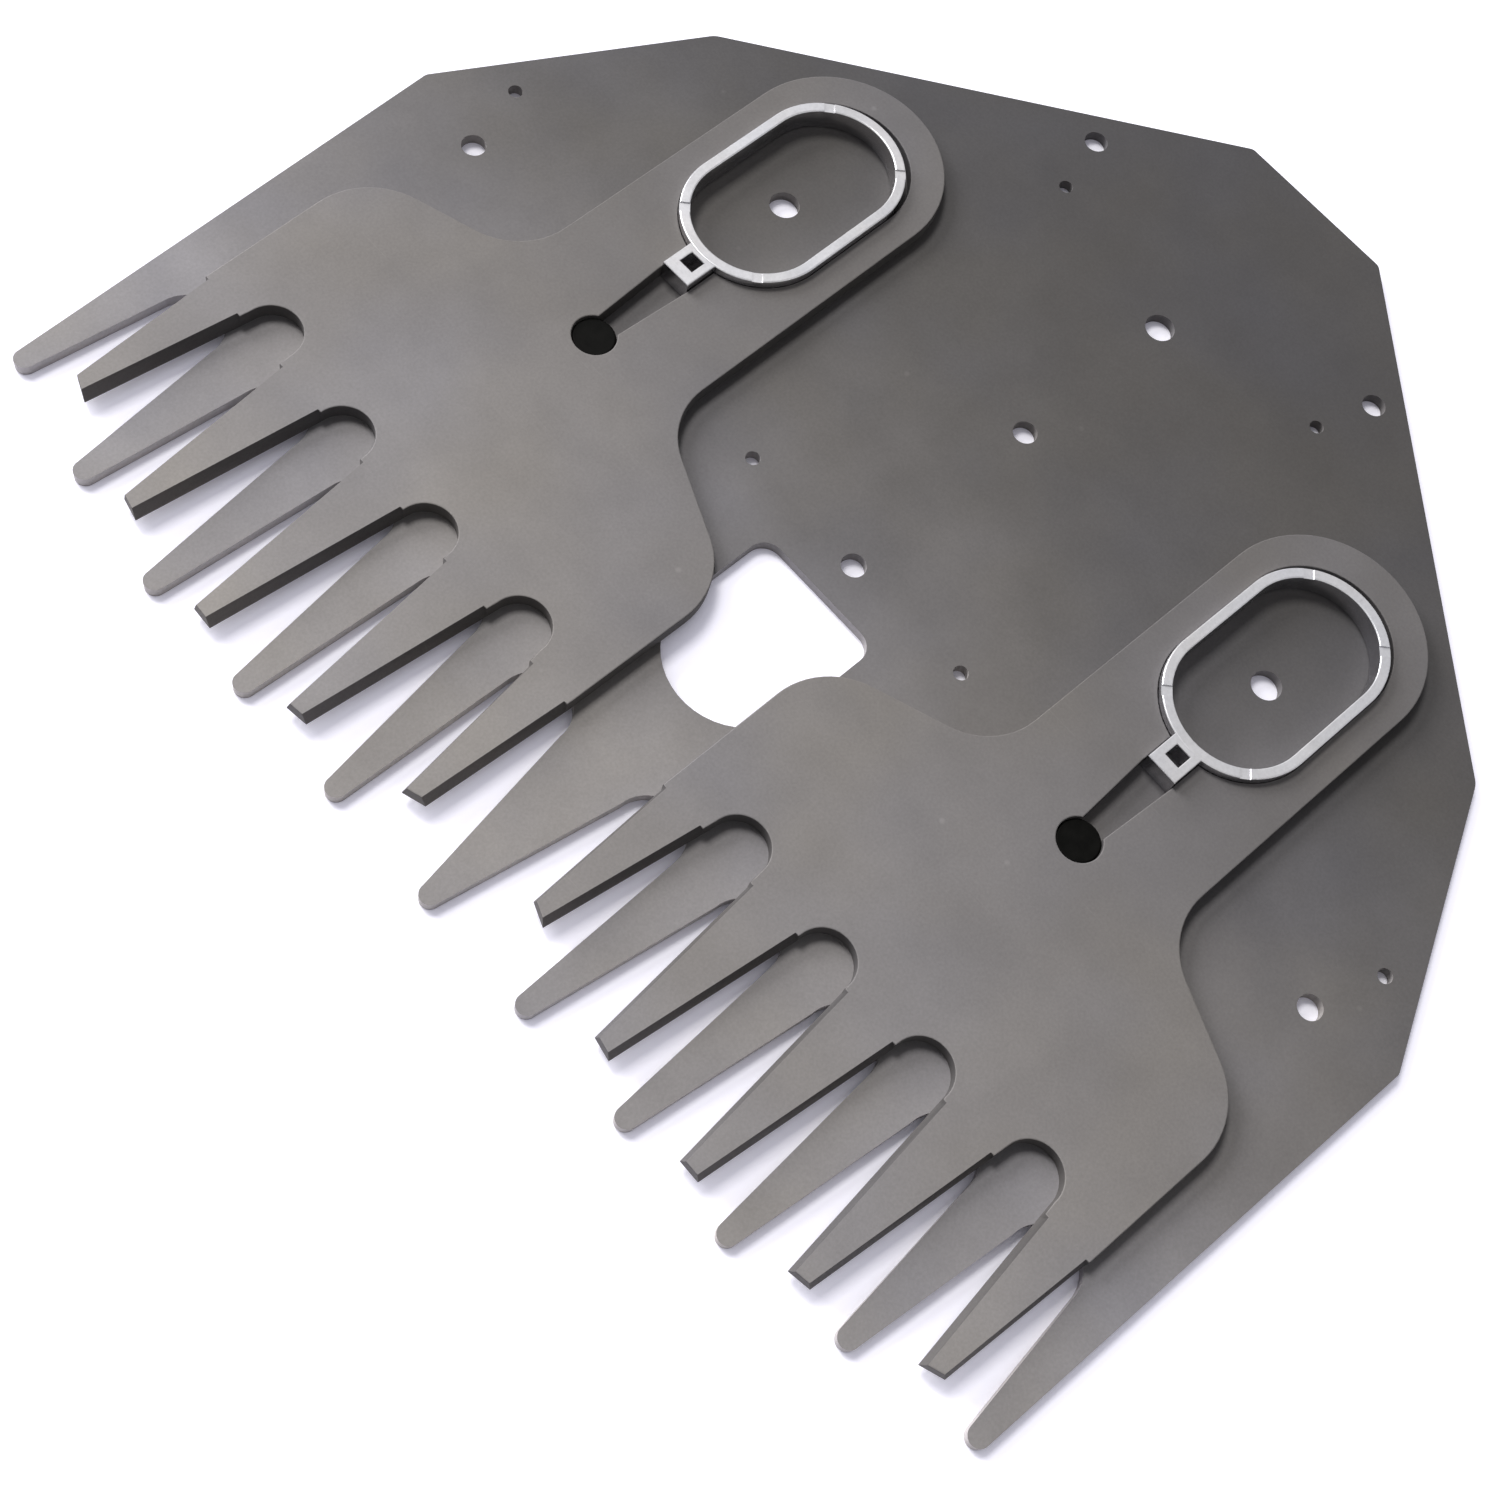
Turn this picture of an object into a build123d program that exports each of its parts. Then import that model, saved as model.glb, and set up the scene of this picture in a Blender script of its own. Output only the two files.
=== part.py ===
# Blade set of a wide grass shear: a fixed comb plate carries two toothed blades that swing on pins.
import os
from math import sqrt

from build123d import *

os.makedirs("parts", exist_ok=True)

# Plate outline; every depth is measured backwards from the front line of the tooth tips
plate_thickness = 1.5
plate_depth = 155.9
rear_half_width = 11.85
shoulder_half_width = 69.1
shoulder_depth = 106.7
side_half_width = 85.7
side_depth = 71.1
shoulder_corner_radius = 3.0
plate_corner_radius = 1.2

# Plate teeth, counted from the middle tooth outwards
tooth_pitch = 16.0
tip_radius = 1.3
tip_setbacks = (0.0, 0.0, 0.0, 0.0, 2.3, 5.7)
gullet_radius = 4.5
gullet_pitch = 15.75
first_gullet = 9.7
gullet_depth = 24.2

# Window in the plate behind the middle tooth
window_half_width = 9.5
window_front_depth = 38.1
window_rear_depth = 60.6
window_corner_radius = 2.5

# Plate holes in pairs left and right of the middle line, single ones on it; an inset is measured
# from the plate's side or rear edge
screw_radius = 1.6
side_screw_inset = 12.1
side_screw_depth = 68.9
rear_screw_half_spacing = 25.9
rear_screw_inset = 17.9
front_screw_depth = 66.2
middle_screw_depth = 96.8
guide_radius = 2.0
guide_inset = 32.9
crank_half_spacing = 43.4
crank_depth = 95.5
dowel_radius = 0.95
side_dowel_inset = 8.6
side_dowel_depth = 78.8
rear_dowel_half_spacing = 23.2
rear_dowel_inset = 26.9
front_dowel_half_spacing = 18.3
front_dowel_depth = 66.5

# Pivots that join each blade to the plate
pivot_half_spacing = 42.2
pivot_depth = 61.5
pin_radius = 2.78
pin_clearance = 0.05
pin_recess = 0.4
pin_chamfer = 0.3

# Pose of each blade: its swing in degrees, and how far its tooth row climbs for each mm across
left_swing = 1.2
right_swing = -1.6
left_row_slope = -0.0625
right_row_slope = 0.0115

# Blade; every reach is measured from its pivot, forwards for the teeth and backwards for the eye
blade_thickness = 2.0
blade_pitch = 15.75
blade_tip_reach = 59.1
blade_tip_arc_radius = 90.0
blade_tip_half_width = 1.45
blade_gullet_radius = 3.75
inner_gullet_reach = 33.0
outer_gullet_reach = 31.6
heel_half_width = 34.4
heel_reach = 33.0
shoulder_reach = 8.7
blade_half_width = 35.1
blade_shoulder_radius = 10.0
neck_half_width = 13.9
neck_radius = 9.5
eye_half_width = 14.05
eye_reach = 43.25

# Ground bevel along both edges of every blade tooth
bevel_reach = 33.4
bevel_width = 0.55
bevel_land = 0.2

# Race ring in the eye, with its tab in the keyhole slot
ring_half_width = 10.1
ring_straight = 13.0
ring_reach = 34.5
ring_wall = 1.4
ring_height = 3.2
ring_chamfer = 0.15
ring_clearance = 0.05
ring_rear_gap = 1.3
tab_width = 4.5
tab_length = 4.4
tab_hole = 2.1
tab_front_wall = 1.8
tab_clearance = 0.1
slot_foot_width = 3.1

# Places worked out from the sizes above
front = -plate_depth / 2
last_tooth = len(tip_setbacks) - 1
ring_front = ring_reach - ring_straight / 2 - ring_half_width
tab_front = ring_front - tab_length
blade_last_tooth = 2


def gullet_centre(index):
    """Centre of the plate's gullet to the right of the tooth with this index."""
    step = index if index >= 0 else -index - 1
    offset = first_gullet + step * gullet_pitch
    return Vector(offset if index >= 0 else -offset, front + gullet_depth)


def sloped(x, reach, slope):
    """Point at this reach in front of the pivot, moved along with the slope of the tooth row."""
    return Vector(x, slope * x - reach)


def blade_gullet_centre(index, slope):
    """Centre of a blade's gullet to the right of the tooth with this index."""
    outermost = index in (-blade_last_tooth, blade_last_tooth - 1)
    reach = outer_gullet_reach if outermost else inner_gullet_reach
    return sloped((index + 0.5) * blade_pitch, reach, slope)


def blade_tip_corner(index, side, slope):
    """Corner of a blade tooth's blunt tip, which is cut along one large arc."""
    x = index * blade_pitch + side * blade_tip_half_width
    rise = blade_tip_arc_radius - sqrt(blade_tip_arc_radius**2 - x**2)
    return sloped(x, blade_tip_reach - rise, slope)


def blade_root_corner(index, side, slope):
    """Point where the edge of a blade tooth ends, at a gullet or at the blade's heel."""
    if index * side == blade_last_tooth:
        return sloped(side * heel_half_width, heel_reach, slope)
    gullet = blade_gullet_centre(index if side > 0 else index - 1, slope)
    return gullet - Vector(side * blade_gullet_radius, 0)


def bevel_plane(base, tip, root, side):
    """Plane square to a tooth edge at its tip: x into the tooth, y up, z along the edge."""
    origin = base.from_local_coords(tip)
    along = (base.from_local_coords(root) - origin) * side
    return Plane(origin=origin, x_dir=base.z_dir.cross(along), z_dir=along)


def bevel_length(tip, root, slope):
    """Length of the ground edge, from the tip to where the bevel stops short of the root."""
    stop = sloped(root.X, bevel_reach, slope)
    return (root - tip).length * (stop.Y - tip.Y) / (root.Y - tip.Y)


# Comb plate
tooth_row = range(-last_tooth, last_tooth + 1)
tips = [Vector(i * tooth_pitch, front + tip_setbacks[abs(i)]) for i in tooth_row]
gullets = [gullet_centre(i) for i in tooth_row[:-1]]
tip_left = Vector(-tip_radius, tip_radius)
tip_right = Vector(tip_radius, tip_radius)
gullet_left = Vector(-gullet_radius, 0)
gullet_top = Vector(0, gullet_radius)
right_outline = [
    (side_half_width, front + side_depth),
    (shoulder_half_width, front + shoulder_depth),
    (rear_half_width, front + plate_depth),
]
left_outline = [(-x, y) for x, y in reversed(right_outline)]
corner_radii = [plate_corner_radius, shoulder_corner_radius, plate_corner_radius]
single_screws = [(0, front + front_screw_depth), (0, front + middle_screw_depth)]
paired_screws = [
    (side * half, front + depth)
    for side in (-1, 1)
    for half, depth in (
        (side_half_width - side_screw_inset, side_screw_depth),
        (rear_screw_half_spacing, plate_depth - rear_screw_inset),
    )
]
cranks = [(side * crank_half_spacing, front + crank_depth) for side in (-1, 1)]
dowels = [
    (side * half, front + depth)
    for side in (-1, 1)
    for half, depth in (
        (side_half_width - side_dowel_inset, side_dowel_depth),
        (rear_dowel_half_spacing, plate_depth - rear_dowel_inset),
        (front_dowel_half_spacing, front_dowel_depth),
    )
]
pivots = [(side * pivot_half_spacing, front + pivot_depth) for side in (-1, 1)]

with BuildPart() as lower_plate:
    with BuildSketch():
        with BuildLine():
            for tip in tips:
                ThreePointArc(tip + tip_left, tip, tip + tip_right)
            for tip, gullet, next_tip in zip(tips, gullets, tips[1:]):
                Line(tip + tip_right, gullet + gullet_left)
                ThreePointArc(gullet + gullet_left, gullet + gullet_top, gullet - gullet_left)
                Line(gullet - gullet_left, next_tip + tip_left)
            FilletPolyline(
                tips[-1] + tip_right,
                *right_outline,
                *left_outline,
                tips[0] + tip_left,
                radius=corner_radii + corner_radii[::-1],
            )
        make_face()
    extrude(amount=plate_thickness)
    with BuildSketch():
        window_arc_y = front + window_front_depth + window_half_width
        window_rear_y = front + window_rear_depth
        with BuildLine():
            FilletPolyline(
                (window_half_width, window_arc_y),
                (window_half_width, window_rear_y),
                (-window_half_width, window_rear_y),
                (-window_half_width, window_arc_y),
                radius=window_corner_radius,
            )
            ThreePointArc(
                (-window_half_width, window_arc_y),
                (0, front + window_front_depth),
                (window_half_width, window_arc_y),
            )
        make_face()
    extrude(amount=plate_thickness, mode=Mode.SUBTRACT)
    for places, radius in (
        (single_screws + paired_screws, screw_radius),
        ([(0, front + plate_depth - guide_inset)] + cranks, guide_radius),
        (dowels, dowel_radius),
        (pivots, pin_radius),
    ):
        with Locations(*[(x, y, plate_thickness) for x, y in places]):
            Hole(radius)
lower_plate.part.label = "lower_plate"
export_step(lower_plate.part, "parts/lower_plate.step")

for hand, pivot, swing, slope in (
    ("left", pivots[0], left_swing, left_row_slope),
    ("right", pivots[1], right_swing, right_row_slope),
):
    # The blade's own plane lies on the plate, with its origin at the pivot and y towards the eye
    blade_plane = Plane((*pivot, plate_thickness)).rotated((0, 0, swing))

    # Blade: stamped outline, eye, keyhole slot and pivot hole, then the ground bevels
    with BuildPart() as blade:
        with BuildSketch(blade_plane):
            with BuildLine():
                for i in range(-blade_last_tooth, blade_last_tooth + 1):
                    Polyline(
                        blade_root_corner(i, -1, slope),
                        blade_tip_corner(i, -1, slope),
                        blade_tip_corner(i, 1, slope),
                        blade_root_corner(i, 1, slope),
                    )
                for i in range(-blade_last_tooth, blade_last_tooth):
                    start = blade_root_corner(i, 1, slope)
                    top = blade_gullet_centre(i, slope) + Vector(0, blade_gullet_radius)
                    ThreePointArc(start, top, blade_root_corner(i + 1, -1, slope))
                for side in (-1, 1):
                    FilletPolyline(
                        sloped(side * heel_half_width, heel_reach, slope),
                        sloped(side * blade_half_width, shoulder_reach, slope),
                        sloped(side * neck_half_width, 0, slope),
                        (side * eye_half_width, eye_reach),
                        radius=(blade_shoulder_radius, neck_radius),
                    )
                ThreePointArc(
                    (-eye_half_width, eye_reach),
                    (0, eye_reach + eye_half_width),
                    (eye_half_width, eye_reach),
                )
            make_face()
            with Locations((0, ring_reach + ring_rear_gap / 2)):
                SlotCenterToCenter(
                    ring_straight + ring_rear_gap,
                    2 * (ring_half_width + ring_clearance),
                    rotation=90,
                    mode=Mode.SUBTRACT,
                )
            slot_half_width = tab_width / 2 + tab_clearance
            with BuildLine():
                Polyline(
                    (-slot_foot_width / 2, 0),
                    (slot_foot_width / 2, 0),
                    (slot_half_width, tab_front),
                    (slot_half_width, ring_front + ring_wall),
                    (-slot_half_width, ring_front + ring_wall),
                    (-slot_half_width, tab_front),
                    close=True,
                )
            make_face(mode=Mode.SUBTRACT)
            Circle(pin_radius + pin_clearance, mode=Mode.SUBTRACT)
        extrude(amount=blade_thickness)
        for i in range(-blade_last_tooth, blade_last_tooth + 1):
            for side in (-1, 1):
                tip = blade_tip_corner(i, side, slope)
                root = blade_root_corner(i, side, slope)
                with BuildSketch(bevel_plane(blade_plane, tip, root, side)):
                    with BuildLine():
                        Polyline(
                            (0, bevel_land),
                            (bevel_width, blade_thickness),
                            (-bevel_width, blade_thickness),
                            (-bevel_width, bevel_land),
                            close=True,
                        )
                    make_face()
                extrude(amount=bevel_length(tip, root, slope), both=True, mode=Mode.SUBTRACT)
    blade.part.label = f"{hand}_blade"
    export_step(blade.part, f"parts/{hand}_blade.step")

    # Race ring: a stadium band that stands proud of the blade, with a square loop for its tab
    with BuildPart() as race_ring:
        with BuildSketch(blade_plane):
            with Locations((0, ring_reach)):
                SlotCenterToCenter(ring_straight, 2 * ring_half_width, rotation=90)
            with Locations((0, tab_front)):
                Rectangle(tab_width, tab_length + ring_wall, align=(Align.CENTER, Align.MIN))
            with Locations((0, ring_reach)):
                SlotCenterToCenter(
                    ring_straight, 2 * (ring_half_width - ring_wall), rotation=90, mode=Mode.SUBTRACT
                )
            with Locations((0, tab_front + tab_front_wall)):
                Rectangle(tab_hole, tab_hole, align=(Align.CENTER, Align.MIN), mode=Mode.SUBTRACT)
        extrude(amount=ring_height)
        chamfer(race_ring.edges().group_by(Axis.Z)[-1], length=ring_chamfer)
    race_ring.part.label = f"{hand}_race_ring"
    export_step(race_ring.part, f"parts/{hand}_race_ring.step")

    # Pivot pin: pressed into the plate and ending just below the blade's top face
    with BuildPart() as pivot_pin:
        with BuildSketch(Plane((*pivot, 0))):
            Circle(pin_radius)
        extrude(amount=plate_thickness + blade_thickness - pin_recess)
        chamfer(pivot_pin.edges().group_by(Axis.Z)[-1], length=pin_chamfer)
    pivot_pin.part.label = f"{hand}_pivot_pin"
    export_step(pivot_pin.part, f"parts/{hand}_pivot_pin.step")
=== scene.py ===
"""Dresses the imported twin-blade grass shear set and sets up the photograph's view of it."""
import logging
import math
from dataclasses import dataclass, field
from enum import Enum
from functools import cache
from typing import Any

import bmesh
import bpy
from mathutils import Euler, Matrix, Vector


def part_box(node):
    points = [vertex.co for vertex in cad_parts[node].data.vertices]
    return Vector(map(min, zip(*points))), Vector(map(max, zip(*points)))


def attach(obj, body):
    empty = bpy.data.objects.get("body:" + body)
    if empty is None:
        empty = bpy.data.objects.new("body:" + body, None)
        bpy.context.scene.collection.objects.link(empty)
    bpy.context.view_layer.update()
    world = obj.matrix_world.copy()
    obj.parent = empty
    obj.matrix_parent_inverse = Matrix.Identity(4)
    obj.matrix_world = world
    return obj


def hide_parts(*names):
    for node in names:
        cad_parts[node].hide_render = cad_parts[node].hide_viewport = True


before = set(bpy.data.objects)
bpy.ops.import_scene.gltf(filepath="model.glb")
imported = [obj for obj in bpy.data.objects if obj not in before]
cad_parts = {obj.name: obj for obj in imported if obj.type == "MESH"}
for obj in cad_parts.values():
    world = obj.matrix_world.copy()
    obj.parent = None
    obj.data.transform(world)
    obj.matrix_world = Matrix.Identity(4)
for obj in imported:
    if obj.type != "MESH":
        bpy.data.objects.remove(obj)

LOG = logging.getLogger("shear_set")
MM = 0.001
SMOOTH_ANGLE = math.radians(24)
FLAT_ANGLE = math.radians(0.4)
MERGE = 0.002 * MM
TEETH_LENGTH = 29 * MM
SCRATCHES = ((0.5, 7.0), (-0.9, 8.0), (1.9, 9.0))
SCRATCH_SCALE = (90.0, 3600.0, 90.0)

Colour = tuple[float, float, float]
Socket = bpy.types.NodeSocket


class Hand(Enum):
    """Which of the two blades a piece belongs to."""

    LEFT = "left"
    RIGHT = "right"

    def node(self, piece: str) -> str:
        """Name of the CAD node of this piece on this hand."""
        return f"{self.value}_{piece}"

    @property
    def body(self) -> str:
        """Name of the CAD body that swings on this hand."""
        return f"{self.value}_swing"

    @property
    def rest_turn(self) -> float:
        """How far this hand's blade is turned at rest, in radians."""
        return math.radians(1.2 if self is Hand.LEFT else -1.6)


@dataclass
class Canvas:
    """A node tree and short ways to add nodes to it and to join them."""

    tree: bpy.types.NodeTree

    def add(
        self, kind: str, settings: dict[str, Any] | None = None, **inputs: Any
    ) -> bpy.types.Node:
        """Adds a node.

        Args:
            kind: The node's type name.
            settings: Properties of the node itself.
            inputs: Values or sockets by input name, with _ for a space, or in{N} for number N.

        Returns:
            The new node.
        """
        node = self.tree.nodes.new(kind)
        for name, value in (settings or {}).items():
            setattr(node, name, value)
        for name, value in inputs.items():
            numbered = name.startswith("in") and name[2:].isdigit()
            socket = node.inputs[int(name[2:]) if numbered else name.replace("_", " ")]
            if isinstance(value, Socket):
                self.tree.links.new(value, socket)
            else:
                socket.default_value = value
        return node

    def math(self, operation: str, first: Any, second: Any = 0.0) -> Socket:
        """Adds a Math node and returns its result."""
        kind = "ShaderNodeMath"
        return self.add(kind, {"operation": operation}, in0=first, in1=second).outputs[0]

    def span(self, value: Any, low: float, high: float, start: float, end: float) -> Socket:
        """Maps low..high to start..end with a clamp and returns the result."""
        return self.add(
            "ShaderNodeMapRange",
            {"clamp": True},
            Value=value,
            From_Min=low,
            From_Max=high,
            To_Min=start,
            To_Max=end,
        ).outputs[0]

    def blend(self, share: Any, first: Any, second: Any, kind: str = "MIX") -> Socket:
        """Mixes two colours and returns the result."""
        settings = {"data_type": "RGBA", "blend_type": kind}
        return self.add("ShaderNodeMix", settings, in0=share, in6=first, in7=second).outputs[2]

    def noise(self, place: Any, size: float, detail: float = 3.0, seed: float = 0.0) -> Socket:
        """Adds 4D noise with features of about this size in metres and returns its value."""
        return self.add(
            "ShaderNodeTexNoise",
            {"noise_dimensions": "4D"},
            Vector=place,
            W=seed,
            Scale=1 / size,
            Detail=detail,
            Roughness=0.55,
        ).outputs[0]

    def seen(self) -> Socket:
        """Tells the rays that show the white background from the rest.

        Returns:
            1 for rays from the camera, from polished faces and through clear ones, else 0.
        """
        path = self.add("ShaderNodeLightPath").outputs
        sight = self.math("MAXIMUM", path["Is Camera Ray"], path["Is Glossy Ray"])
        return self.math("MAXIMUM", sight, path["Is Transmission Ray"])

    def stretched(self, place: Any, turn: float, scale: Colour) -> Socket:
        """Turns the coordinates about z, scales them and returns them."""
        return self.add(
            "ShaderNodeMapping", Vector=place, Rotation=(0.0, 0.0, turn), Scale=scale
        ).outputs[0]


@dataclass(frozen=True)
class SteelFinish:
    """Bare steel: soft mottling, fine grain, stray scratches and pale specks, with painted light
    towards the front and on upright walls.
    """

    name: str
    warm: Colour
    cool: Colour
    metallic: float
    roughness: float
    mottle_size: float = 9 * MM
    mottle_depth: float = 0.07
    grain_size: float = 0.35 * MM
    grain_depth: float = 0.06
    scratch_depth: float = 0.10
    speck_size: float = 11 * MM
    speck_level: float = 0.25
    bump: float = 0.12
    painted_wall_light: float = 1.0
    wall_shine: float = 0.0
    painted_light_start: float = 0.0
    painted_light_end: float = -50 * MM
    painted_light_gain: float = 1.0
    painted_light_bend: float = 1.0
    specular: float = 0.2
    seed: float = 0.0

    @cache
    def material(self) -> bpy.types.Material:
        """Builds the material, once for all pieces that share it.

        Returns:
            The material.
        """
        made = bpy.data.materials.new(self.name)
        made.use_nodes = True
        canvas = Canvas(made.node_tree)
        made.node_tree.nodes.clear()
        place = canvas.add("ShaderNodeTexCoord").outputs["Object"]
        grain = canvas.noise(place, self.grain_size, 2.0, self.seed + 3)
        colour = self._colour(canvas, place, grain)
        worn = canvas.noise(place, 2.2 * self.mottle_size, 4.0, self.seed + 5)
        rough = canvas.span(worn, 0.3, 0.7, self.roughness - 0.05, self.roughness + 0.06)
        shine = self._wall(canvas, self.wall_shine, 0.0)
        added = canvas.math("MULTIPLY", shine, 1 - self.metallic)
        metallic = canvas.math("ADD", added, self.metallic)
        dull = canvas.math("SUBTRACT", 1.0, canvas.math("MULTIPLY", shine, 0.4))
        bump = canvas.add(
            "ShaderNodeBump", Strength=self.bump, Distance=0.05 * MM, Height=grain
        ).outputs[0]
        shader = canvas.add(
            "ShaderNodeBsdfPrincipled",
            Base_Color=colour,
            Metallic=metallic,
            Roughness=canvas.math("MULTIPLY", rough, dull),
            Specular_IOR_Level=self.specular,
            Normal=bump,
        )
        canvas.add("ShaderNodeOutputMaterial", Surface=shader.outputs[0])
        return made

    def _colour(self, canvas: Canvas, place: Any, grain: Any) -> Socket:
        """Layers mottling, grain, scratches and specks, and paints light and shade by place and
        slope.

        Args:
            canvas: The material's nodes.
            place: Object coordinates.
            grain: Fine noise that the bump shares.

        Returns:
            The finished colour.
        """
        patch = canvas.noise(place, 3.1 * self.mottle_size, 2.0, self.seed)
        tint = canvas.span(patch, 0.35, 0.65, 0.0, 1.0)
        colour = canvas.blend(tint, (*self.warm, 1.0), (*self.cool, 1.0))
        cloud = canvas.noise(place, self.mottle_size, 5.0, self.seed + 1)
        shade = canvas.span(cloud, 0.3, 0.7, 1 - self.mottle_depth, 1 + self.mottle_depth)
        fine = canvas.span(grain, 0.3, 0.7, 1 - self.grain_depth, 1 + self.grain_depth)
        level = canvas.math("MULTIPLY", shade, fine)
        # Painted light: brighter towards the teeth, darker towards the rear.
        level = canvas.math("MULTIPLY", level, self._painted_light(canvas, place))
        # Painted light and shade on upright walls: lighter plate walls stand in for light bounced
        # off the floor, darker blade walls for shade.
        level = canvas.math("MULTIPLY", level, self._wall(canvas, self.painted_wall_light, 1.0))
        for turn, seed in SCRATCHES:
            along = canvas.stretched(place, turn, SCRATCH_SCALE)
            streak = canvas.noise(along, 1.0, 1.0, self.seed + seed)
            scratch = canvas.span(streak, 0.74, 0.80, 0.0, self.scratch_depth)
            level = canvas.math("ADD", level, scratch)
        cells = canvas.add(
            "ShaderNodeTexVoronoi", Vector=place, Scale=1 / self.speck_size, Randomness=1.0
        )
        dot = canvas.span(cells.outputs["Distance"], 0.020, 0.045, self.speck_level, 0.0)
        level = canvas.math("ADD", level, dot)
        return canvas.blend(1.0, colour, level, "MULTIPLY")

    def _wall(self, canvas: Canvas, upright: float, level: float) -> Socket:
        """Tells upright walls from level faces by the slope of the face.

        Args:
            canvas: The material's nodes.
            upright: The value on upright walls.
            level: The value on level faces.

        Returns:
            The value by the slope of the face.
        """
        normal = canvas.add("ShaderNodeNewGeometry").outputs["True Normal"]
        rise = canvas.math("ABSOLUTE", canvas.add("ShaderNodeSeparateXYZ", in0=normal).outputs["Z"])
        return canvas.span(rise, 0.5, 0.9, upright, level)

    def _painted_light(self, canvas: Canvas, place: Any) -> Socket:
        """Paints light onto the steel: brighter towards the teeth and darker towards the rear, in
        place of the light's fall-off.

        Args:
            canvas: The material's nodes.
            place: Object coordinates.

        Returns:
            The gain on the colour.
        """
        depth = canvas.add("ShaderNodeSeparateXYZ", in0=place).outputs["Y"]
        patchy = canvas.noise(place, 20 * MM, 2.0, self.seed + 12)
        uneven = canvas.math("ADD", depth, canvas.span(patchy, 0.3, 0.7, -6 * MM, 6 * MM))
        share = canvas.span(uneven, self.painted_light_start, self.painted_light_end, 0.0, 1.0)
        bent = canvas.math("POWER", share, self.painted_light_bend)
        return canvas.span(bent, 0.0, 1.0, 1.0, self.painted_light_gain)


@dataclass(frozen=True)
class BlackFinish:
    """Black oxide on the pins: nearly even, with a faint rub and a soft gloss."""

    name: str
    colour: Colour = (0.0035, 0.0035, 0.0032)
    rubbed: Colour = (0.008, 0.0078, 0.0072)
    roughness: float = 0.5
    specular: float = 0.03
    cloud_size: float = 1.5 * MM

    @cache
    def material(self) -> bpy.types.Material:
        """Builds the material, once for all pieces that share it.

        Returns:
            The material.
        """
        made = bpy.data.materials.new(self.name)
        made.use_nodes = True
        canvas = Canvas(made.node_tree)
        made.node_tree.nodes.clear()
        place = canvas.add("ShaderNodeTexCoord").outputs["Object"]
        cloud = canvas.noise(place, self.cloud_size, 4.0, 2.0)
        share = canvas.span(cloud, 0.4, 0.75, 0.0, 1.0)
        colour = canvas.blend(share, (*self.colour, 1.0), (*self.rubbed, 1.0))
        rough = canvas.span(cloud, 0.3, 0.7, self.roughness - 0.06, self.roughness + 0.06)
        shader = canvas.add(
            "ShaderNodeBsdfPrincipled",
            Base_Color=colour,
            Metallic=0.0,
            Roughness=rough,
            Specular_IOR_Level=self.specular,
        )
        canvas.add("ShaderNodeOutputMaterial", Surface=shader.outputs[0])
        return made


PLATE_STEEL = SteelFinish(
    "rolled_plate",
    (0.0862, 0.0811, 0.0783),
    (0.0804, 0.0776, 0.0819),
    0.18,
    0.70,
    # Painted light: the plate brightens towards the teeth.
    painted_light_start=75 * MM,
    painted_light_end=-50 * MM,
    painted_light_gain=3.5,
    painted_light_bend=2.5,
    # Painted light: the plate's walls lighter, for light bounced off the floor.
    painted_wall_light=2.2,
    seed=11.0,
)
BLADE_STEEL = SteelFinish(
    "ground_blade",
    (0.171, 0.160, 0.152),
    (0.162, 0.155, 0.159),
    0.18,
    0.68,
    # Painted light: the blade brightens towards the tips.
    painted_light_start=5 * MM,
    painted_light_end=-75 * MM,
    painted_light_gain=1.78,
    # Painted shade: the blade's walls darker.
    painted_wall_light=0.5,
    seed=31.0,
)
RING_STEEL = SteelFinish(
    "plated_ring",
    (0.56, 0.55, 0.56),
    (0.54, 0.54, 0.57),
    0.58,
    0.32,
    wall_shine=1.0,
    mottle_size=3 * MM,
    mottle_depth=0.06,
    speck_level=0.1,
    seed=51.0,
)
PIN_BLACK = BlackFinish("black_oxide")


def shade(mesh: bpy.types.Mesh) -> None:
    """Smooths the curved walls and keeps every level face flat up to its rim.

    Args:
        mesh: The mesh to shade.
    """
    mesh.shade_smooth()
    mesh.set_sharp_from_angle(angle=SMOOTH_ANGLE)
    work = bmesh.new()
    work.from_mesh(mesh)
    for edge in work.edges:
        level = [abs(f.normal.z) > 0.9999 for f in edge.link_faces]
        if any(level) and not all(level):
            edge.smooth = False
    work.to_mesh(mesh)
    work.free()


def finish_piece(
    name: str, mesh: bpy.types.Mesh, material: bpy.types.Material, body: str, slot: str, *nodes: str
) -> bpy.types.Object:
    """Makes a finished mesh an object that rides on a body and stands for CAD nodes.

    Args:
        name: The piece's name.
        mesh: Its mesh, in the part's frame.
        material: Its material.
        body: The CAD body that it rides on.
        slot: The record's material slot; not used.
        nodes: The CAD nodes that it replaces.

    Returns:
        The new object.
    """
    mesh.materials.clear()
    mesh.materials.append(material)
    shade(mesh)
    piece = bpy.data.objects.new(name, mesh)
    bpy.context.scene.collection.objects.link(piece)
    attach(piece, body)
    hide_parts(*nodes)
    LOG.info("%s: %d faces on %s", name, len(mesh.polygons), body)
    return piece


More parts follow.
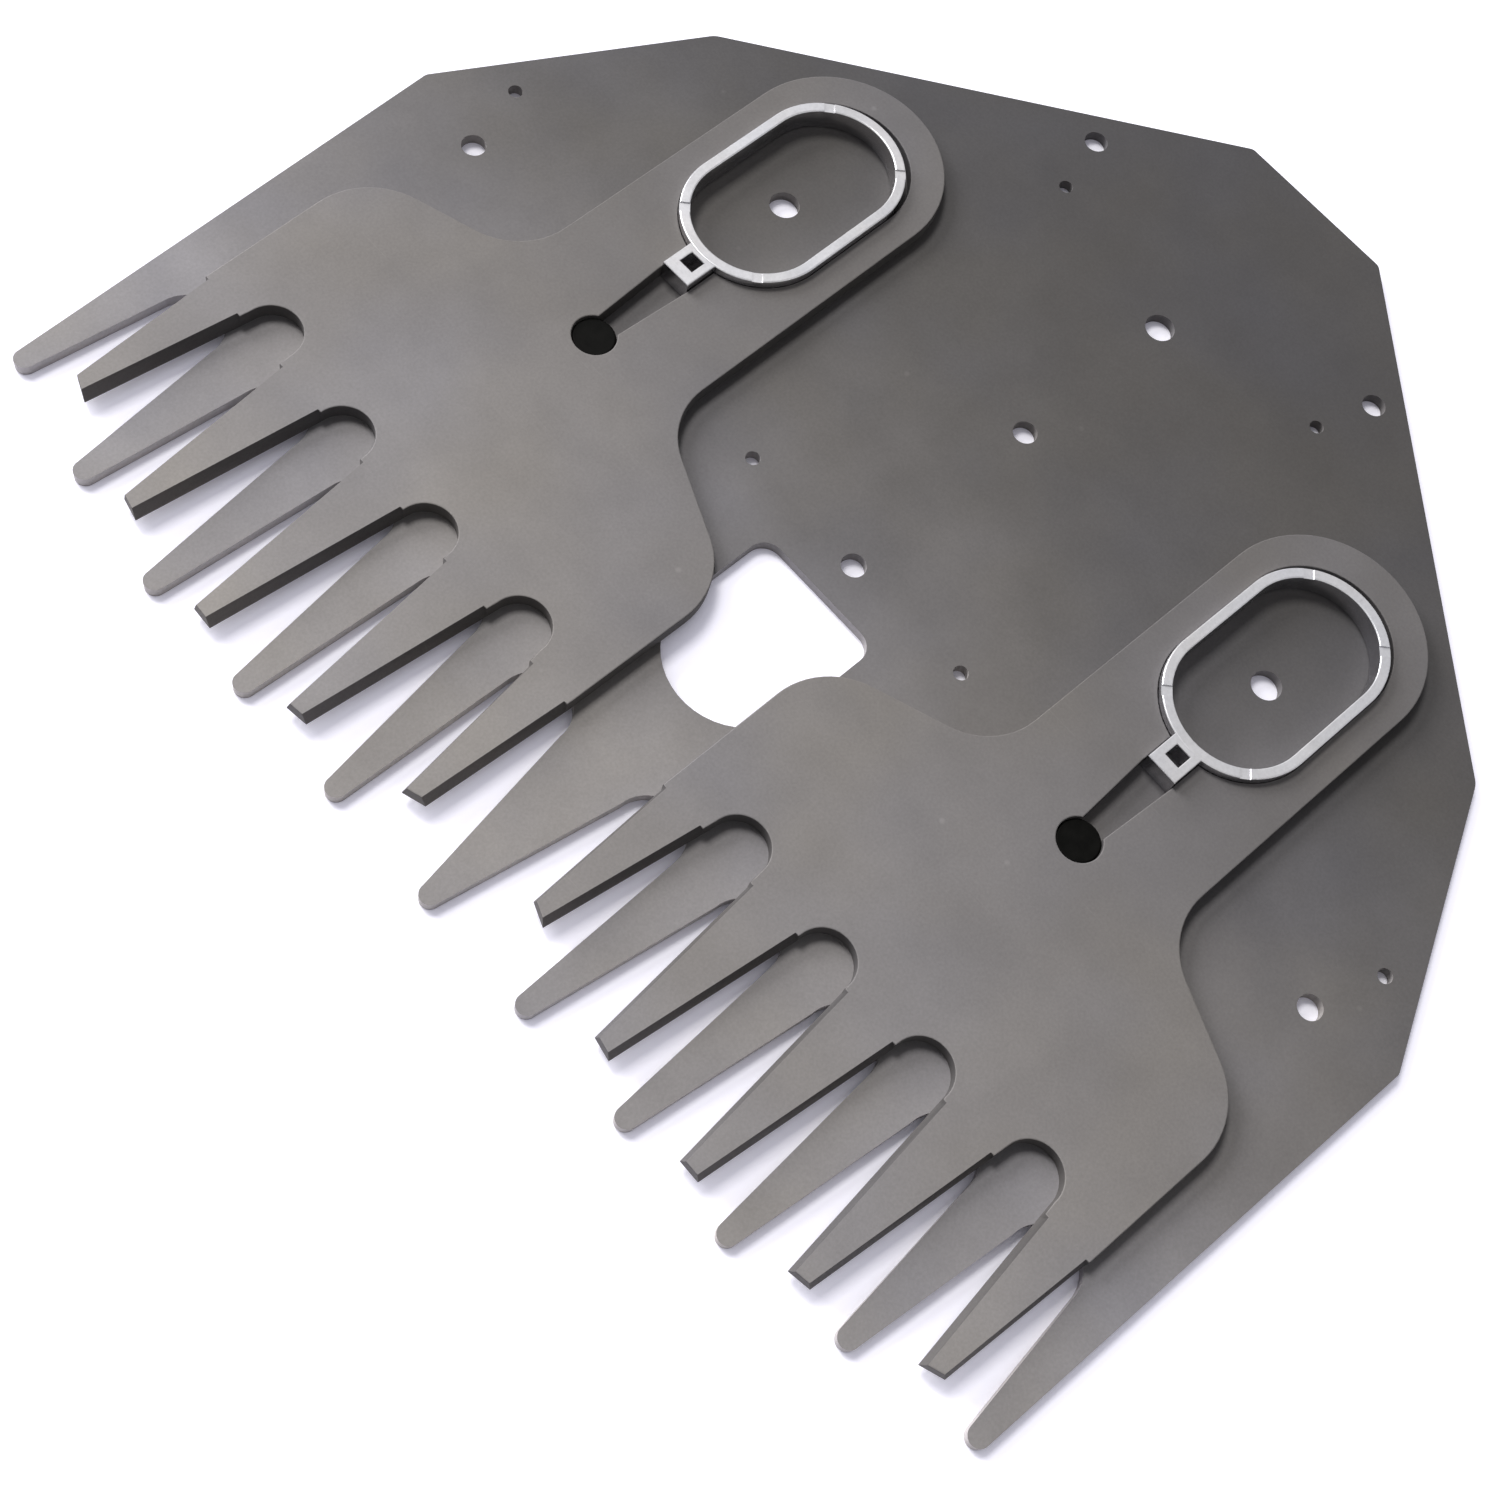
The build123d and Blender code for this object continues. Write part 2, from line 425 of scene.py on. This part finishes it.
@dataclass
class StampedSheet:
    """A sheet piece copied from its CAD node, with the stamped top edge rolled over a little."""

    node: str
    name: str
    body: str
    slot: str
    finish: SteelFinish
    roll: float = 0.14 * MM
    sharp_before: float = -1.0
    steps: int = 2

    def mesh(self) -> bpy.types.Mesh:
        """Copies the CAD mesh, joins its loose triangles and rolls the stamped edges over.

        Returns:
            The finished mesh.
        """
        work = bmesh.new()
        work.from_mesh(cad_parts[self.node].data)
        bmesh.ops.remove_doubles(work, verts=work.verts, dist=MERGE)
        bmesh.ops.dissolve_limit(
            work, angle_limit=FLAT_ANGLE, verts=work.verts, edges=work.edges
        )
        bmesh.ops.recalc_face_normals(work, faces=work.faces)
        top = max(v.co.z for v in work.verts)
        rolled = [e for e in work.edges if self._is_rolled(e, top)]
        bmesh.ops.bevel(
            work,
            geom=rolled,
            offset=self.roll,
            offset_type="OFFSET",
            segments=self.steps,
            profile=0.5,
            affect="EDGES",
            clamp_overlap=True,
        )
        mesh = bpy.data.meshes.new(self.name)
        work.to_mesh(mesh)
        work.free()
        return mesh

    def _is_rolled(self, edge: bmesh.types.BMEdge, top: float) -> bool:
        """Says whether an edge joins the top face to an upright wall and isn't a cutting edge.

        Args:
            edge: The edge to judge.
            top: Height of the sheet's top face.

        Returns:
            True for an edge that stamping rolled over.
        """
        if len(edge.link_faces) != 2 or any(abs(v.co.z - top) > MERGE for v in edge.verts):
            return False
        if max(v.co.y for v in edge.verts) < self.sharp_before:
            return False
        slopes = sorted(f.normal.z for f in edge.link_faces)
        return abs(slopes[0]) < 0.1 and slopes[1] > 0.99

    def build(self) -> bpy.types.Object:
        """Makes the dressed piece."""
        return finish_piece(
            self.name, self.mesh(), self.finish.material(), self.body, self.slot, self.node
        )


@dataclass
class RaceRing:
    """The stadium race with its square tab, swept by Geometry Nodes along its path."""

    hand: Hand
    pivot: Vector
    half_width: float = 10.1 * MM
    straight: float = 13.0 * MM
    reach: float = 34.5 * MM
    wall: float = 1.4 * MM
    height: float = 3.2 * MM
    edge_radius: float = 0.20 * MM
    tab_width: float = 4.5 * MM
    tab_length: float = 4.4 * MM
    tab_hole: float = 2.1 * MM
    tab_front_wall: float = 1.8 * MM
    tab_edge: float = 0.16 * MM
    tab_drop: float = 0.04 * MM
    mark_width: float = 1.4 * MM
    mark_depth: float = 0.20 * MM
    finish: SteelFinish = RING_STEEL

    @property
    def sizes(self) -> dict[str, float]:
        """The tree's named inputs and their values."""
        return {
            "Half Width": self.half_width,
            "Straight": self.straight,
            "Wall": self.wall,
            "Height": self.height,
            "Edge Radius": self.edge_radius,
            "Tab Width": self.tab_width,
            "Tab Length": self.tab_length,
            "Tab Hole": self.tab_hole,
            "Tab Front Wall": self.tab_front_wall,
            "Tab Drop": self.tab_drop,
            "Mark Width": self.mark_width,
            "Mark Depth": self.mark_depth,
        }

    def tree(self) -> bpy.types.NodeTree:
        """Builds the tree that sweeps the band, adds the tab and cuts the four marks.

        Returns:
            The Geometry Nodes tree.
        """
        tree = bpy.data.node_groups.new(self.hand.node("race_tree"), "GeometryNodeTree")
        for name in self.sizes:
            tree.interface.new_socket(name, in_out="INPUT", socket_type="NodeSocketFloat")
        tree.interface.new_socket("Material", in_out="INPUT", socket_type="NodeSocketMaterial")
        tree.interface.new_socket("Mesh", in_out="OUTPUT", socket_type="NodeSocketGeometry")
        canvas = Canvas(tree)
        inputs = canvas.add("NodeGroupInput").outputs
        band = self._band(canvas, inputs)
        tab = self._tab(canvas, inputs)
        marked = canvas.add(
            "GeometryNodeMeshBoolean", {"operation": "DIFFERENCE", "solver": "EXACT"}, Mesh_1=band
        )
        tree.links.new(self._marks(canvas, inputs), marked.inputs["Mesh 2"])
        joined = canvas.add("GeometryNodeJoinGeometry")
        tree.links.new(marked.outputs["Mesh"], joined.inputs[0])
        tree.links.new(tab, joined.inputs[0])
        real = canvas.add("GeometryNodeRealizeInstances", Geometry=joined.outputs[0])
        dressed = canvas.add(
            "GeometryNodeSetMaterial", Geometry=real.outputs[0], Material=inputs["Material"]
        )
        canvas.add("NodeGroupOutput", Mesh=dressed.outputs[0])
        return tree

    def _rectangle(
        self, canvas: Canvas, width: Any, height: Any, radius: Any, count: int
    ) -> Socket:
        """Adds a rectangle with rounded corners.

        Args:
            canvas: The tree's nodes.
            width: Size along x.
            height: Size along y.
            radius: Radius of the corners.
            count: Points on each corner.

        Returns:
            The curve.
        """
        plain = canvas.add("GeometryNodeCurvePrimitiveQuadrilateral", Width=width, Height=height)
        return canvas.add(
            "GeometryNodeFilletCurve",
            {"mode": "POLY"},
            Curve=plain.outputs[0],
            Count=count,
            Radius=radius,
            Limit_Radius=True,
        ).outputs[0]

    def _band(self, canvas: Canvas, inputs: Any) -> Socket:
        """Sweeps the rounded wall section round the stadium path.

        Args:
            canvas: The tree's nodes.
            inputs: The tree's named inputs.

        Returns:
            The band's mesh.
        """
        half_wall = canvas.math("MULTIPLY", inputs["Wall"], 0.5)
        middle = canvas.math("SUBTRACT", inputs["Half Width"], half_wall)
        width = canvas.math("MULTIPLY", middle, 2.0)
        length = canvas.math("ADD", width, inputs["Straight"])
        path = self._rectangle(canvas, width, length, middle, 40)
        upright = canvas.add("GeometryNodeSetCurveNormal", {"mode": "Z_UP"}, Curve=path)
        section = self._rectangle(
            canvas, inputs["Wall"], inputs["Height"], inputs["Edge Radius"], 5
        )
        return canvas.add(
            "GeometryNodeCurveToMesh", Curve=upright.outputs[0], Profile_Curve=section
        ).outputs[0]

    def _tab(self, canvas: Canvas, inputs: Any) -> Socket:
        """Makes the tab as a block with a square hole.

        Args:
            canvas: The tree's nodes.
            inputs: The tree's named inputs.

        Returns:
            The tab's mesh.
        """
        half = canvas.math("MULTIPLY", inputs["Straight"], 0.5)
        ring_front = canvas.math("ADD", half, inputs["Half Width"])
        half_wall = canvas.math("MULTIPLY", inputs["Wall"], 0.5)
        length = canvas.math("ADD", inputs["Tab Length"], half_wall)
        drops = canvas.math("MULTIPLY", inputs["Tab Drop"], 2.0)
        low = canvas.math("SUBTRACT", inputs["Height"], drops)
        size = canvas.add("ShaderNodeCombineXYZ", X=inputs["Tab Width"], Y=length, Z=low)
        front = canvas.math("ADD", ring_front, inputs["Tab Length"])
        middle = canvas.math("SUBTRACT", canvas.math("MULTIPLY", length, 0.5), front)
        block = canvas.add("GeometryNodeMeshCube", Size=size.outputs[0])
        place = canvas.add("ShaderNodeCombineXYZ", Y=middle)
        block = canvas.add(
            "GeometryNodeTransform", Geometry=block.outputs[0], Translation=place.outputs[0]
        )
        tall = canvas.math("MULTIPLY", inputs["Height"], 2.0)
        hole_size = canvas.add(
            "ShaderNodeCombineXYZ", X=inputs["Tab Hole"], Y=inputs["Tab Hole"], Z=tall
        )
        half_hole = canvas.math("MULTIPLY", inputs["Tab Hole"], 0.5)
        inset = canvas.math("ADD", inputs["Tab Front Wall"], half_hole)
        hole_place = canvas.add("ShaderNodeCombineXYZ", Y=canvas.math("SUBTRACT", inset, front))
        hole = canvas.add("GeometryNodeMeshCube", Size=hole_size.outputs[0])
        hole = canvas.add(
            "GeometryNodeTransform", Geometry=hole.outputs[0], Translation=hole_place.outputs[0]
        )
        cut = canvas.add(
            "GeometryNodeMeshBoolean",
            {"operation": "DIFFERENCE", "solver": "EXACT"},
            Mesh_1=block.outputs[0],
        )
        canvas.tree.links.new(hole.outputs[0], cut.inputs["Mesh 2"])
        return cut.outputs["Mesh"]

    def _marks(self, canvas: Canvas, inputs: Any) -> Socket:
        """Sets four thin cutters across the rim, where its arcs are halfway round.

        Args:
            canvas: The tree's nodes.
            inputs: The tree's named inputs.

        Returns:
            The cutters' mesh.
        """
        half_wall = canvas.math("MULTIPLY", inputs["Wall"], 0.5)
        middle = canvas.math("SUBTRACT", inputs["Half Width"], half_wall)
        spread = canvas.math("MULTIPLY", middle, 2 * math.cos(math.radians(45)))
        rise = canvas.math("MULTIPLY", middle, 2 * math.sin(math.radians(45)))
        length = canvas.math("ADD", rise, inputs["Straight"])
        points = canvas.add(
            "GeometryNodeMeshGrid", Size_X=spread, Size_Y=length, Vertices_X=2, Vertices_Y=2
        )
        lift = canvas.add("ShaderNodeCombineXYZ", Z=canvas.math("MULTIPLY", inputs["Height"], 0.5))
        lifted = canvas.add(
            "GeometryNodeTransform", Geometry=points.outputs[0], Translation=lift.outputs[0]
        )
        deep = canvas.math("MULTIPLY", inputs["Mark Depth"], 2.0)
        long = canvas.math("MULTIPLY", inputs["Wall"], 1.6)
        size = canvas.add("ShaderNodeCombineXYZ", X=long, Y=inputs["Mark Width"], Z=deep)
        cutter = canvas.add("GeometryNodeMeshCube", Size=size.outputs[0])
        where = canvas.add("GeometryNodeInputPosition").outputs[0]
        parts = canvas.add("ShaderNodeSeparateXYZ", in0=where).outputs
        half = canvas.math("MULTIPLY", inputs["Straight"], 0.5)
        beyond = canvas.math("SUBTRACT", canvas.math("ABSOLUTE", parts["Y"]), half)
        signed = canvas.math("MULTIPLY", beyond, canvas.math("SIGN", parts["Y"]))
        turn = canvas.add("ShaderNodeCombineXYZ", Z=canvas.math("ARCTAN2", signed, parts["X"]))
        set_out = canvas.add(
            "GeometryNodeInstanceOnPoints",
            Points=lifted.outputs[0],
            Instance=cutter.outputs[0],
            Rotation=turn.outputs[0],
        )
        return canvas.add("GeometryNodeRealizeInstances", Geometry=set_out.outputs[0]).outputs[0]

    def mesh(self) -> bpy.types.Mesh:
        """Runs the tree, rounds the tab's rim and puts the ring in its place.

        Returns:
            The finished mesh.
        """
        seed = bpy.data.meshes.new("race_seed")
        holder = bpy.data.objects.new(self.hand.node("race_holder"), seed)
        bpy.context.scene.collection.objects.link(holder)
        modifier = holder.modifiers.new("race", "NODES")
        modifier.node_group = self.tree()
        values: dict[str, Any] = {**self.sizes, "Material": self.finish.material()}
        for item in modifier.node_group.interface.items_tree:
            if item.in_out == "INPUT":
                modifier[item.identifier] = values[item.name]
        depsgraph = bpy.context.evaluated_depsgraph_get()
        mesh = bpy.data.meshes.new_from_object(holder.evaluated_get(depsgraph))
        bpy.data.objects.remove(holder)
        self._round_tab(mesh)
        lift = Matrix.Translation((0, self.reach, self.height / 2))
        turn = Matrix.Rotation(self.hand.rest_turn, 4, "Z")
        mesh.transform(Matrix.Translation(self.pivot) @ turn @ lift)
        mesh.name = self.hand.node("race")
        return mesh

    def _round_tab(self, mesh: bpy.types.Mesh) -> None:
        """Rounds the upper edges of the tab.

        Args:
            mesh: The ring's mesh, before it is put in its place.
        """
        work = bmesh.new()
        work.from_mesh(mesh)
        bmesh.ops.remove_doubles(work, verts=work.verts, dist=MERGE)
        limit = -(self.straight / 2 + self.half_width) + self.wall
        top = self.height / 2 - self.tab_drop
        rim = [
            e
            for e in work.edges
            if len(e.link_faces) == 2
            and all(abs(v.co.z - top) < MERGE and v.co.y < limit for v in e.verts)
            and e.calc_face_angle(0.0) > math.radians(80)
        ]
        bmesh.ops.bevel(
            work, geom=rim, offset=self.tab_edge, segments=2, profile=0.5, affect="EDGES"
        )
        work.to_mesh(mesh)
        work.free()

    def build(self) -> bpy.types.Object:
        """Makes the dressed ring."""
        return finish_piece(
            self.hand.node("race"),
            self.mesh(),
            self.finish.material(),
            self.hand.body,
            "ring_steel",
            self.hand.node("race_ring"),
        )


@dataclass
class PivotPin:
    """A turned pin with a softly broken upper edge."""

    hand: Hand
    centre: Vector
    radius: float = 2.78 * MM
    height: float = 3.1 * MM
    edge: float = 0.30 * MM
    segments: int = 96
    finish: BlackFinish = PIN_BLACK

    def profile(self) -> list[tuple[float, float]]:
        """Draws the pin's outline, from the foot's middle to the top's middle.

        Returns:
            Radius and height of each point.
        """
        arc = [
            (
                self.radius - self.edge * (1 - math.cos(math.radians(a))),
                self.height - self.edge * (1 - math.sin(math.radians(a))),
            )
            for a in range(0, 91, 15)
        ]
        return [(0.0, 0.0), (self.radius, 0.0), *arc, (0.0, self.height)]

    def mesh(self) -> bpy.types.Mesh:
        """Turns the outline about the pin's axis.

        Returns:
            The finished mesh.
        """
        work = bmesh.new()
        places = [work.verts.new((self.centre.x + r, self.centre.y, z)) for r, z in self.profile()]
        edges = [work.edges.new(pair) for pair in zip(places, places[1:])]
        bmesh.ops.spin(
            work,
            geom=places + edges,
            cent=(self.centre.x, self.centre.y, 0),
            axis=(0, 0, 1),
            angle=2 * math.pi,
            steps=self.segments,
        )
        bmesh.ops.remove_doubles(work, verts=work.verts, dist=MERGE)
        bmesh.ops.recalc_face_normals(work, faces=work.faces)
        mesh = bpy.data.meshes.new(self.hand.node("pin"))
        work.to_mesh(mesh)
        work.free()
        return mesh

    def build(self) -> bpy.types.Object:
        """Makes the dressed pin."""
        return finish_piece(
            self.hand.node("pin"),
            self.mesh(),
            self.finish.material(),
            "base",
            "black_steel",
            self.hand.node("pivot_pin"),
        )


@dataclass(frozen=True)
class Lamp:
    """One soft rectangular lamp, aimed at the middle of the part."""

    name: str
    azimuth: float
    elevation: float
    distance: float
    width: float
    height: float
    power: float
    colour: Colour

    def build(self) -> None:
        """Adds the lamp; the azimuth runs from +X towards +Y."""
        light = bpy.data.lights.new(self.name, "AREA")
        light.shape = "RECTANGLE"
        light.size, light.size_y = self.width, self.height
        light.energy = self.power
        light.color = self.colour
        lamp = bpy.data.objects.new(self.name, light)
        turn, tilt = math.radians(self.azimuth), math.radians(self.elevation)
        level = math.cos(tilt)
        away = Vector((math.cos(turn) * level, math.sin(turn) * level, math.sin(tilt)))
        lamp.location = away * self.distance
        lamp.rotation_euler = away.to_track_quat("Z", "Y").to_euler()
        bpy.context.scene.collection.objects.link(lamp)


@dataclass
class Studio:
    """The floor, the lamps, the sky and the camera of the photograph."""

    floor_size: float = 6.0
    floor_colour: Colour = (0.86, 0.85, 0.90)
    floor_glow: float = 0.74
    glow_colour: Colour = (0.87, 0.86, 1.0)
    painted_shade_reach: float = 6 * MM
    painted_shade_fade: float = 1.5
    sky: Colour = (0.80, 0.80, 0.90)
    sky_strength: float = 0.06
    camera_place: Vector = field(default_factory=lambda: Vector((0.05097, -0.12559, 0.21210)))
    camera_turn: Colour = (22.8329, -9.7169, 47.0898)
    lens: float = 48.783
    lamps: tuple[Lamp, ...] = (
        Lamp("key", 168, 57, 3.0, 0.90, 0.90, 53.0, (1.0, 0.99, 0.97)),
        Lamp("window", 184, 25, 3.0, 1.6, 1.5, 90.0, (0.98, 0.98, 1.0)),
    )

    def build(self) -> None:
        """Sets up everything round the part."""
        self._floor()
        self._sky()
        for lamp in self.lamps:
            lamp.build()
        self._camera()
        bpy.context.scene.view_settings.view_transform = "Standard"
        LOG.info("studio: %d lamps", len(self.lamps))

    def _floor(self) -> None:
        """Lays a pale floor that looks white where it is open, keeps the shadow and has painted
        shade where its glow fades beside the part.
        """
        half = self.floor_size / 2
        mesh = bpy.data.meshes.new("floor")
        corners = [(-half, -half, 0), (half, -half, 0), (half, half, 0), (-half, half, 0)]
        mesh.from_pydata(corners, [], [(0, 1, 2, 3)])
        made = bpy.data.materials.new("floor")
        made.use_nodes = True
        made.node_tree.nodes.clear()
        canvas = Canvas(made.node_tree)
        matt = canvas.add("ShaderNodeBsdfDiffuse", Color=(*self.floor_colour, 1.0))
        seen = canvas.seen()
        # Painted shade: the glow fades by ambient occlusion beside and under the part and in its
        # holes, where its lavender tint shows.
        painted_shade_occlusion = canvas.add(
            "ShaderNodeAmbientOcclusion", {"samples": 8}, Distance=self.painted_shade_reach
        )
        reach = canvas.math("POWER", painted_shade_occlusion.outputs["AO"], self.painted_shade_fade)
        shown = canvas.math("MULTIPLY", seen, reach)
        strength = canvas.math("MULTIPLY", shown, self.floor_glow)
        glow = canvas.add(
            "ShaderNodeEmission", Color=(*self.glow_colour, 1.0), Strength=strength
        )
        both = canvas.add("ShaderNodeAddShader", in0=matt.outputs[0], in1=glow.outputs[0])
        canvas.add("ShaderNodeOutputMaterial", Surface=both.outputs[0])
        mesh.materials.append(made)
        floor = bpy.data.objects.new("floor", mesh)
        bpy.context.scene.collection.objects.link(floor)

    def _sky(self) -> None:
        """Fills the world with an even pale light that the camera sees as white."""
        world = bpy.data.worlds.new("studio")
        world.use_nodes = True
        world.node_tree.nodes.clear()
        canvas = Canvas(world.node_tree)
        seen = canvas.seen()
        light = canvas.add(
            "ShaderNodeBackground", Color=(*self.sky, 1.0), Strength=self.sky_strength
        )
        white = canvas.add("ShaderNodeBackground", Color=(1.0, 1.0, 1.0, 1.0), Strength=1.0)
        both = canvas.add(
            "ShaderNodeMixShader", in0=seen, in1=light.outputs[0], in2=white.outputs[0]
        )
        canvas.add("ShaderNodeOutputWorld", Surface=both.outputs[0])
        bpy.context.scene.world = world

    def _camera(self) -> None:
        """Puts the camera where the photograph was taken."""
        data = bpy.data.cameras.new("camera")
        data.sensor_width = 36.0
        data.lens = self.lens
        data.clip_start = 0.01
        camera = bpy.data.objects.new("camera", data)
        camera.location = self.camera_place
        camera.rotation_euler = Euler([math.radians(a) for a in self.camera_turn], "XYZ")
        bpy.context.scene.collection.objects.link(camera)
        bpy.context.scene.camera = camera


def main() -> None:
    """Builds the pieces in order and sets up the studio."""
    logging.basicConfig(level=logging.INFO, format="%(name)s %(message)s")
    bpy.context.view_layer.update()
    plate_low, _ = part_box("lower_plate")
    teeth_end = plate_low.y + TEETH_LENGTH
    StampedSheet(
        "lower_plate", "plate", "base", "plate_steel", PLATE_STEEL, sharp_before=teeth_end
    ).build()
    for hand in Hand:
        low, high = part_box(hand.node("pivot_pin"))
        centre = (low + high) / 2
        blade_low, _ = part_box(hand.node("blade"))
        StampedSheet(
            hand.node("blade"), hand.node("cutter"), hand.body, "blade_steel", BLADE_STEEL
        ).build()
        seat = Vector((centre.x, centre.y, blade_low.z))
        RaceRing(hand, seat).build()
        PivotPin(hand, Vector((centre.x, centre.y, 0))).build()
    Studio().build()


if __name__ == "__main__":
    main()
